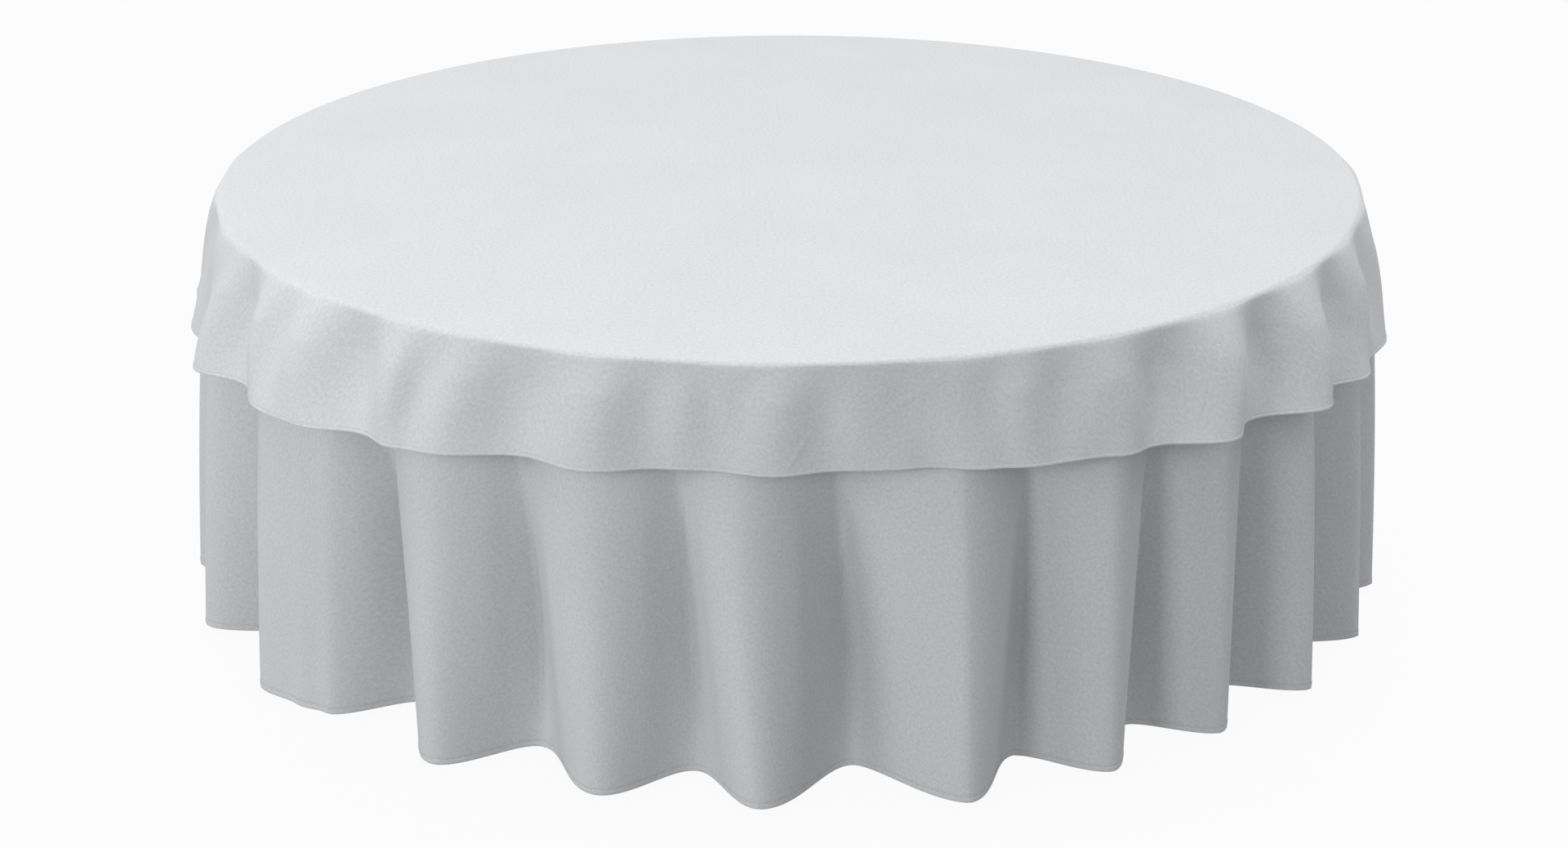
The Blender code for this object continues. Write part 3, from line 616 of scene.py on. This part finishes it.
@dataclass(frozen=True)
class Drop:
    """How the cloths hang: the table's edge, its heights and the rings of turning points.

    Where a cloth's own share is meant, it runs from 0 at the top to 1 at the hem.
    """

    edge_radius: float
    top: float
    floor_hem: float
    floor_folds: FoldRing
    overlay_waves: FoldRing
    overlay_ripples: FoldRing

    # The floor cloth: how narrow its valleys are, how flat its sides that climb to the right, how
    # far the valleys are drawn in between the edge and the hem, and how deep the edge holds them.
    pinch: float = 0.8
    flatness: float = 0.8
    flatness_lost: float = 0.5
    tuck: float = 0.95
    tuck_curve: float = 0.8
    crest_start: float = 0.004
    edge_depth: float = 0.022

    # Its folds' lean in degrees: everywhere, how much more it is round the front, and over how wide
    # a stretch. The flat sides begin at the same bearing, the more sharply the higher the onset.
    lean_all: float = 0.2
    lean_front: float = 2.4
    lean_spread: float = 12.0
    front: float = 2.0
    onset: float = 8.0

    # The overlay: its mean flare, the curves of flare and waves, its lean in degrees, its drop at
    # the sides and how much less it is in front, and how it lies off the floor cloth.
    overlay_flare: float = 0.055
    flare_curve: float = 0.85
    wave_curve: float = 0.75
    overlay_lean: float = 6.4
    overlay_mean: float = 0.230
    overlay_shift: float = 0.060
    clearance: float = 0.0016
    rounding: float = 0.004

    # Its ripples: their height, the shares between which they are full, and what they lose after.
    ripple_height: float = 0.0105
    ripple_from: float = 0.35
    ripple_until: float = 0.6
    ripple_lost: float = 0.55

    def overlay_hem(self, bearing: float) -> float:
        """Returns how deep the overlay hangs at a bearing; it lies a little towards the back."""
        return self.overlay_mean - self.overlay_shift * math.cos(math.radians(bearing))

    def lean(self, bearing: float) -> float:
        """Returns how many degrees a fold leans to the right from the top down to the floor hem."""
        off = (bearing - self.front) / self.lean_spread
        return self.lean_all + self.lean_front * math.exp(-off ** 2)

    def floor_reach(self, bearing: float, depth: float) -> float:
        """Returns how far the floor cloth stands out of the edge.

        Args:
            bearing: Where round the table, in degrees.
            depth: How far below the top, in metres.

        Returns:
            The distance in metres, below zero where the cloth goes in under the edge.
        """
        full = self.top - self.floor_hem
        share = max(0.0, depth) / full
        near_hem = share ** 3
        pinch = self.pinch * (1.0 - near_hem)
        past_front = math.sin(math.radians(bearing - self.front))
        rightward = min(1.0, max(0.0, past_front * self.onset))
        plane = self.flatness * rightward * (1.0 - self.flatness_lost * near_hem)
        value = self.floor_folds.at(bearing + self.lean(bearing) * (1.0 - share), pinch, plane)
        start, end = math.sqrt(self.crest_start), math.sqrt(1.0 + self.crest_start)
        crest = (math.sqrt(share + self.crest_start) - start) / (end - start)
        inward = max(0.0, depth - self.edge_depth) / (full - self.edge_depth)
        bow = 1.0 + self.tuck * math.sin(math.pi * min(1.0, inward))
        tuck = inward ** self.tuck_curve * bow
        return self.edge_radius * (max(value, 0.0) * crest + min(value, 0.0) * tuck)

    def overlay_reach(self, bearing: float, depth: float) -> float:
        """Returns how far the overlay stands out of the edge.

        Args:
            bearing: Where round the table, in degrees.
            depth: How far below the top, in metres.

        Returns:
            The distance in metres.
        """
        share = max(0.0, depth) / self.overlay_hem(bearing)
        turned = bearing - self.overlay_lean * math.sin(math.radians(bearing)) * (1.0 - share)
        wave = self.overlay_waves.at(turned) - self.overlay_flare
        flare = self.overlay_flare * share ** self.flare_curve
        own = self.edge_radius * (flare + wave * share ** self.wave_curve)
        past = max(0.0, share - self.ripple_until) / (1.0 - self.ripple_until)
        swell = min(1.0, share / self.ripple_from) * (1.0 - self.ripple_lost * past)
        own += self.ripple_height * self.overlay_ripples.at(bearing) * swell
        below = max(self.floor_reach(bearing, depth), 0.0)
        return soft_most(own, below + self.clearance, self.rounding)


@dataclass
class ClothSheet:
    """A round cloth laid over the table: a flat top, a soft turn at the edge and a hanging skirt."""

    name: str
    lay: Lay
    drop: Drop
    top: float
    ease_out: float
    turn_radius: float
    segments: int
    top_rings: int
    turn_rings: int
    skirt_rings: int
    thickness: float = 0.0009
    crowding: float = 0.30
    ring_curve: float = 0.8
    unevenness: float = 0.0006
    uneven_scale: float = 3.1
    uneven_margin: float = 0.12

    @property
    def rim(self) -> float:
        """The radius at which the skirt starts."""
        return self.drop.edge_radius + self.ease_out

    @property
    def shoulder(self) -> float:
        """The radius at which the flat top ends."""
        return self.rim - self.turn_radius

    def depth(self, bearing: float) -> float:
        """Measures the skirt from the top surface to the hem.

        Args:
            bearing: Where round the table, in degrees.

        Returns:
            The depth in metres.
        """
        if self.lay is Lay.OVERLAY:
            return self.drop.overlay_hem(bearing)
        return self.top - self.drop.floor_hem

    def reach(self, bearing: float, depth: float) -> float:
        """Reads how far the skirt stands out of the rim.

        Args:
            bearing: Where round the table, in degrees.
            depth: How far below the top, in metres.

        Returns:
            The distance in metres.
        """
        if self.lay is Lay.OVERLAY:
            return self.drop.overlay_reach(bearing, depth)
        return self.drop.floor_reach(bearing, depth)

    def skirt(self, bearing: float) -> float:
        """Returns the skirt's depth below the turn at a bearing."""
        return self.depth(bearing) - self.turn_radius

    def cut_radius(self, bearing: float) -> float:
        """Returns the flat cloth's radius at a bearing."""
        return self.shoulder + self.turn_radius * math.pi / 2 + self.skirt(bearing)

    def stations(self) -> list[float]:
        """Lists the rings from the middle to the hem.

        Returns:
            Radii on the top, then the shoulder's radius plus 1 to 2 round the turn and plus 2 to 3
            down the skirt.
        """
        flat = [self.shoulder * (i / self.top_rings) ** self.ring_curve
                for i in range(self.top_rings + 1)]
        turn = [self.shoulder + 1.0 + (i + 1) / self.turn_rings for i in range(self.turn_rings)]
        skirt = [self.shoulder + 2.0 + (i + 1) / self.skirt_rings for i in range(self.skirt_rings)]
        return flat + turn + skirt

    def bearing_of(self, x: float, y: float) -> float:
        """Spreads the even spin so that the front has more columns than the back."""
        turn = math.atan2(x, -y)
        return math.degrees(turn - self.crowding * math.sin(turn))

    def place(self, bearing: float, station: float) -> Vector:
        """Places a point of the cloth.

        Args:
            bearing: Where round the table, in degrees.
            station: Its ring, as in stations().

        Returns:
            The point.
        """
        out = direction(bearing)
        past = station - self.shoulder - 1.0
        if past < 0.0:
            return out * station + Vector((0.0, 0.0, self.top + self.rise(bearing, station)))
        if past <= 1.0:
            angle = past * math.pi / 2
            level = self.turn_radius * (1.0 - math.cos(angle))
            reach = self.reach(bearing, level) * past
            radius = self.shoulder + self.turn_radius * math.sin(angle) + reach
            return out * radius + Vector((0.0, 0.0, self.top - level))
        level = self.turn_radius + self.skirt(bearing) * (past - 1.0)
        radius = self.rim + self.reach(bearing, level)
        return out * radius + Vector((0.0, 0.0, self.top - level))

    def rise(self, bearing: float, radius: float) -> float:
        """Reads the top's slight unevenness, which dies away towards the edge.

        Args:
            bearing: Where round the table, in degrees.
            radius: How far from the middle, in metres.

        Returns:
            The height above the plain top, in metres.
        """
        if self.lay is Lay.FLOOR:
            return 0.0
        spot = direction(bearing) * radius * self.uneven_scale
        fade = min(1.0, (self.shoulder - radius) / self.uneven_margin)
        return self.unevenness * fade * (noise.noise(spot) + 1.0) / 2.0

    def grow(self, finish: bpy.types.Material) -> bpy.types.Object:
        """Builds the sheet.

        Args:
            finish: Its material.

        Returns:
            The piece, with its flat pattern as the UV map called flat.
        """
        bm = profile_spin([(station, 0.0, 0.0) for station in self.stations()],
                          self.segments, closed=False)
        pattern: dict[bmesh.types.BMVert, Mark] = {}
        for vert in bm.verts:
            station = math.hypot(vert.co.x, vert.co.y)
            bearing = self.bearing_of(vert.co.x, vert.co.y)
            pattern[vert] = self.pattern_point(bearing, station)
            vert.co = self.place(bearing, station)
        write_flat_map(bm, pattern)
        bm.normal_update()
        middle = min(bm.faces, key=lambda face: face.calc_center_median().xy.length)
        if middle.normal.z < 0.0:
            bmesh.ops.reverse_faces(bm, faces=bm.faces)
        piece = to_piece(self.name, bm, finish)
        shell = piece.modifiers.new("thickness", "SOLIDIFY")
        shell.thickness = self.thickness
        shell.offset = -1.0
        return piece

    def crease_lines(self) -> tuple[Crease, ...]:
        """Lays the creases out on the flat cloth.

        Returns:
            Each crease's middle, its turn in radians, its length and its width.
        """
        lines = []
        for bearing, share, turned, length, width in CREASES:
            x, y = self.pattern_point(bearing, self.shoulder + 2.0 + share)
            lines.append((x, y, math.atan2(y, x) + math.radians(turned), length, width))
        return tuple(lines)

    def pattern_point(self, bearing: float, station: float) -> Mark:
        """Finds where a point lies on the flat cloth.

        Args:
            bearing: Where round the table, in degrees.
            station: Its ring, as in stations().

        Returns:
            The place in metres.
        """
        past = station - self.shoulder - 1.0
        turn = self.turn_radius * math.pi / 2
        if past < 0.0:
            radius = station
        elif past <= 1.0:
            radius = self.shoulder + turn * past
        else:
            radius = self.shoulder + turn + self.skirt(bearing) * (past - 1.0)
        out = direction(bearing) * radius
        return out.x, out.y


@dataclass
class Hem:
    """The turned hem along the bottom of a cloth, with its row of stitches."""

    sheet: ClothSheet
    height: float
    bulge: float
    stitch_rise: float
    stitch_pitch: float = 0.0042
    stitch_radius: float = 0.00042
    stitch_share: float = 0.38
    fold: float = 0.0004
    sides: int = 10
    squareness: float = 0.7
    step: float = 0.08

    def edge_frame(self, bearing: float, above: float) -> tuple[Vector, Vector, Vector]:
        """Finds the cloth's place and directions near its hem.

        Args:
            bearing: Where round the table, in degrees.
            above: How far above the hem, in metres.

        Returns:
            The point, the direction along the hem and the direction out of the cloth.
        """
        sheet = self.sheet
        station = sheet.shoulder + 3.0 - above / sheet.skirt(bearing)
        point = sheet.place(bearing, station)
        before, after = (sheet.place(bearing + turn, station) for turn in (-self.step, self.step))
        along = (after - before).normalized()
        outward = along.cross(Vector((0.0, 0.0, 1.0))).normalized()
        if outward.dot(direction(bearing)) < 0.0:
            outward.negate()
        return point, along, outward

    def band(self, finish: bpy.types.Material) -> bpy.types.Object:
        """Builds the rolled band round the hem.

        Args:
            finish: Its material.

        Returns:
            The closed band.
        """
        half = self.bulge / 2
        corners = []
        for side in range(self.sides):
            angle = math.tau * side / self.sides
            tall = math.copysign(abs(math.sin(angle)) ** self.squareness, math.sin(angle))
            corners.append((1.0 + half * math.cos(angle), 0.0, self.height / 2 * (tall + 1.0)))
        bm = profile_spin(corners, self.sheet.segments, closed=True)
        pattern: dict[bmesh.types.BMVert, Mark] = {}
        for vert in bm.verts:
            bearing = self.sheet.bearing_of(vert.co.x, vert.co.y)
            out = math.hypot(vert.co.x, vert.co.y) - 1.0
            rise = vert.co.z
            point, _, outward = self.edge_frame(bearing, max(0.0, rise - self.fold))
            lowered = point.z + min(0.0, rise - self.fold)
            pattern[vert] = (math.radians(bearing) * self.sheet.cut_radius(bearing), rise + out)
            spot = point + outward * (out - self.sheet.thickness / 2)
            vert.co = Vector((spot.x, spot.y, lowered))
        write_flat_map(bm, pattern)
        bmesh.ops.recalc_face_normals(bm, faces=bm.faces)
        return to_piece(f"{self.sheet.name}_hem", bm, finish)

    def stitch_bearings(self) -> list[float]:
        """Lists the bearings of the stitches, an even pitch apart along the cloth.

        Returns:
            The bearings in degrees, once round.
        """
        ahead = 0.1
        found = [-180.0]
        bearing = -180.0
        while bearing < 180.0:
            here, there = (self.edge_frame(spot, self.stitch_rise)[0]
                           for spot in (bearing, bearing + ahead))
            bearing += ahead * self.stitch_pitch / (there - here).length
            found.append(bearing)
        return found[:-1]

    def stitches(self, finish: bpy.types.Material) -> bpy.types.Object:
        """Builds the row of stitches.

        Args:
            finish: The thread's material.

        Returns:
            All the stitches as one piece.
        """
        bead = bmesh.new()
        bmesh.ops.create_icosphere(bead, subdivisions=1, radius=1.0)
        pattern = bpy.data.meshes.new("stitch_pattern")
        bead.to_mesh(pattern)
        bead.free()
        half = self.stitch_pitch * self.stitch_share
        size = Matrix.Diagonal((half, self.stitch_radius, self.stitch_radius, 1.0))
        bm = bmesh.new()
        for bearing in self.stitch_bearings():
            point, along, outward = self.edge_frame(bearing, self.stitch_rise)
            up = outward.cross(along)
            spot = point + outward * (self.bulge / 2 - self.sheet.thickness / 2)
            turn = Matrix((along, outward, up)).transposed().to_4x4()
            stitch = pattern.copy()
            stitch.transform(Matrix.Translation(spot) @ turn @ size)
            bm.from_mesh(stitch)
            bpy.data.meshes.remove(stitch)
        bpy.data.meshes.remove(pattern)
        bmesh.ops.recalc_face_normals(bm, faces=bm.faces)
        return to_piece(f"{self.sheet.name}_stitches", bm, finish)


@dataclass
class DressedCloth:
    """One cloth with its hem and stitches, riding on its body and standing for its solid."""

    sheet: ClothSheet
    hem: Hem
    body: str
    node: str
    slot_name: str
    rests_on: tuple[str, ...]

    def build(self, finish: bpy.types.Material, thread: bpy.types.Material) -> None:
        """Args:
            finish: The cloth's material.
            thread: The stitches' material.
        """
        cloth = self.sheet.grow(finish)
        band = self.hem.band(finish)
        row = self.hem.stitches(thread)
        for piece in (cloth, band, row):
            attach(piece, self.body)
            LOG.info("%s: rides on %s, %d faces", piece.name, self.body, len(piece.data.polygons))
        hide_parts(self.node)
        wide = self.sheet.cut_radius(0.0) + self.sheet.cut_radius(180.0)
        LOG.info("%s: cut %.2f m across", cloth.name, wide)


# --------------------------------------------------------------------------------------------
# The frame under the cloths


@dataclass
class TableFrame:
    """The carried-over table and leg frames."""

    finishes: Finishes

    def dress(self) -> None:
        """Gives every carried-over node its detailed finish."""
        for name, obj in frame["nodes"].items():
            for start, slot in NODE_FINISHES.items():
                if name.startswith(start):
                    obj.data.materials.clear()
                    obj.data.materials.append(self.finishes.frame[slot])
        LOG.info("frame dressed: %d nodes", len(frame["nodes"]))


# --------------------------------------------------------------------------------------------
# Studio


@dataclass(frozen=True)
class Lamp:
    """A round area light aimed at the middle of the table."""

    name: str
    bearing: float
    elevation: float
    size: float
    power: float
    distance: float = 8.5
    aim_height: float = 0.45

    def hang(self) -> None:
        """Adds the lamp to the scene."""
        data = bpy.data.lights.new(self.name, "AREA")
        data.shape = "DISK"
        data.size = self.size
        data.energy = self.power
        lamp = bpy.data.objects.new(self.name, data)
        rise = math.radians(self.elevation)
        aim = direction(self.bearing) * math.cos(rise) + Vector((0.0, 0.0, math.sin(rise)))
        lamp.location = Vector((0.0, 0.0, self.aim_height)) + aim * self.distance
        lamp.rotation_mode = "QUATERNION"
        lamp.rotation_quaternion = (-aim).to_track_quat("-Z", "Y")
        lamp.visible_camera = False
        bpy.context.scene.collection.objects.link(lamp)


LAMPS: tuple[Lamp, ...] = (
    Lamp("key_light", -31.0, 16.0, 2.4, 152.0),
    Lamp("key_wing", -56.0, 16.0, 3.0, 125.0),
    Lamp("left_light", -86.0, 16.0, 3.0, 62.0),
    Lamp("front_fill", 20.0, 20.0, 5.0, 66.0),
    Lamp("right_fill", 95.0, 18.0, 5.0, 86.0),
)


@dataclass
class Studio:
    """A plain pale floor that sweeps up behind, soft lights and the camera."""

    floor_radius: float = 13.0
    floor_drop: float = 0.0005
    sweep: float = 3.0
    wall: float = 9.0
    floor_glow: float = 0.95
    wash: float = 2.4
    wash_tilt: float = 24.0
    wash_spread: float = 60.0
    dome: float = 0.32
    lens: float = 56.25
    shift: float = -0.00365
    eye: Point = (0.0, -4.5414, 2.0823)
    pitch: float = 22.228

    def floor(self) -> None:
        """Builds the floor and its sweep as one bowl, which glows evenly and takes no shadow."""
        corners = [(0.0, 0.0, 0.0), (4.0, 0.0, 0.0), (self.floor_radius, 0.0, 0.0)]
        steps = 8
        for step in range(1, steps + 1):
            angle = math.pi / 2 * step / steps
            corners.append((self.floor_radius + self.sweep * math.sin(angle), 0.0,
                            self.sweep * (1.0 - math.cos(angle))))
        corners.append((self.floor_radius + self.sweep, 0.0, self.wall))
        bm = profile_spin(corners, 64, closed=False)
        bmesh.ops.translate(bm, verts=bm.verts, vec=(0.0, 0.0, -self.floor_drop))
        made, _, shader = Finish("pale_studio_floor", (0.02, 0.02, 0.02), 0.9).start()
        shader.inputs["Emission Color"].default_value = (1.0, 1.0, 1.0, 1.0)
        shader.inputs["Emission Strength"].default_value = self.floor_glow
        shader.inputs["Specular IOR Level"].default_value = 0.0
        bowl = to_piece("studio_floor", bm, made)
        bowl.visible_diffuse = False
        bowl.visible_glossy = False
        bowl.visible_shadow = False

    def lights(self) -> None:
        """Adds the round lamps, the overhead wash and the dome's fill."""
        for lamp in LAMPS:
            lamp.hang()
        wash = bpy.data.lights.new("overhead_wash", "SUN")
        wash.energy = self.wash
        wash.angle = math.radians(self.wash_spread)
        sky = bpy.data.objects.new("overhead_wash", wash)
        sky.location = (0.0, 0.0, 6.0)
        sky.rotation_euler = (math.radians(-self.wash_tilt), 0.0, 0.0)
        bpy.context.scene.collection.objects.link(sky)
        world = bpy.data.worlds.new("studio_dome")
        world.use_nodes = True
        back = world.node_tree.nodes["Background"]
        back.inputs["Color"].default_value = (0.985, 0.99, 1.0, 1.0)
        back.inputs["Strength"].default_value = self.dome
        bpy.context.scene.world = world

    def camera(self) -> None:
        """Stands the camera in front, above the table's top and looking a little down."""
        data = bpy.data.cameras.new("camera")
        data.lens = self.lens
        data.sensor_width = 36.0
        data.shift_x = self.shift
        data.dof.use_dof = False
        data.clip_start = 0.05
        data.clip_end = 100.0
        eye = bpy.data.objects.new("camera", data)
        eye.location = self.eye
        eye.rotation_euler = (math.radians(90.0 - self.pitch), 0.0, 0.0)
        bpy.context.scene.collection.objects.link(eye)
        bpy.context.scene.camera = eye

    def build(self) -> None:
        """Builds the whole studio."""
        self.floor()
        self.lights()
        self.camera()
        settings = bpy.context.scene.view_settings
        settings.view_transform = "Standard"
        settings.look = "None"
        settings.exposure = 0.0
        settings.gamma = 1.0


def main() -> None:
    """Builds the studio, the frame's finishes and the two cloths, in that order."""
    logging.basicConfig(level=logging.INFO, format="%(name)s: %(message)s")
    Studio().build()
    table_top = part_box("top_panel_left")[1].z
    edge_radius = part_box("edge_band_right")[1].x
    floor_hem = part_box("under_cloth")[0].z
    drop = Drop(edge_radius, table_top, floor_hem, FoldRing(FLOOR_FOLDS),
                FoldRing(OVERLAY_WAVES), FoldRing(OVERLAY_RIPPLES))
    under = ClothSheet("floor_cloth", Lay.FLOOR, drop, top=table_top + 0.0013, ease_out=0.0020,
                       turn_radius=0.0050, segments=560, top_rings=8, turn_rings=6,
                       skirt_rings=46)
    over = ClothSheet("overlay", Lay.OVERLAY, drop, top=table_top + 0.0028, ease_out=0.0048,
                      turn_radius=0.0060, segments=640, top_rings=16, turn_rings=8,
                      skirt_rings=28)
    finishes = Finishes(over.crease_lines())
    TableFrame(finishes).dress()
    DressedCloth(under, Hem(under, height=0.010, bulge=0.0020, stitch_rise=0.0085), "table",
                 "under_cloth", "under_cloth_fabric", ("top_panel_left", "top_panel_right")
                 ).build(finishes.floor_cloth, finishes.thread)
    DressedCloth(over, Hem(over, height=0.0055, bulge=0.0030, stitch_rise=0.0068), "overlay",
                 "overlay_cloth", "overlay_fabric", ("floor_cloth",)
                 ).build(finishes.overlay, finishes.thread)


if __name__ == "__main__":
    main()
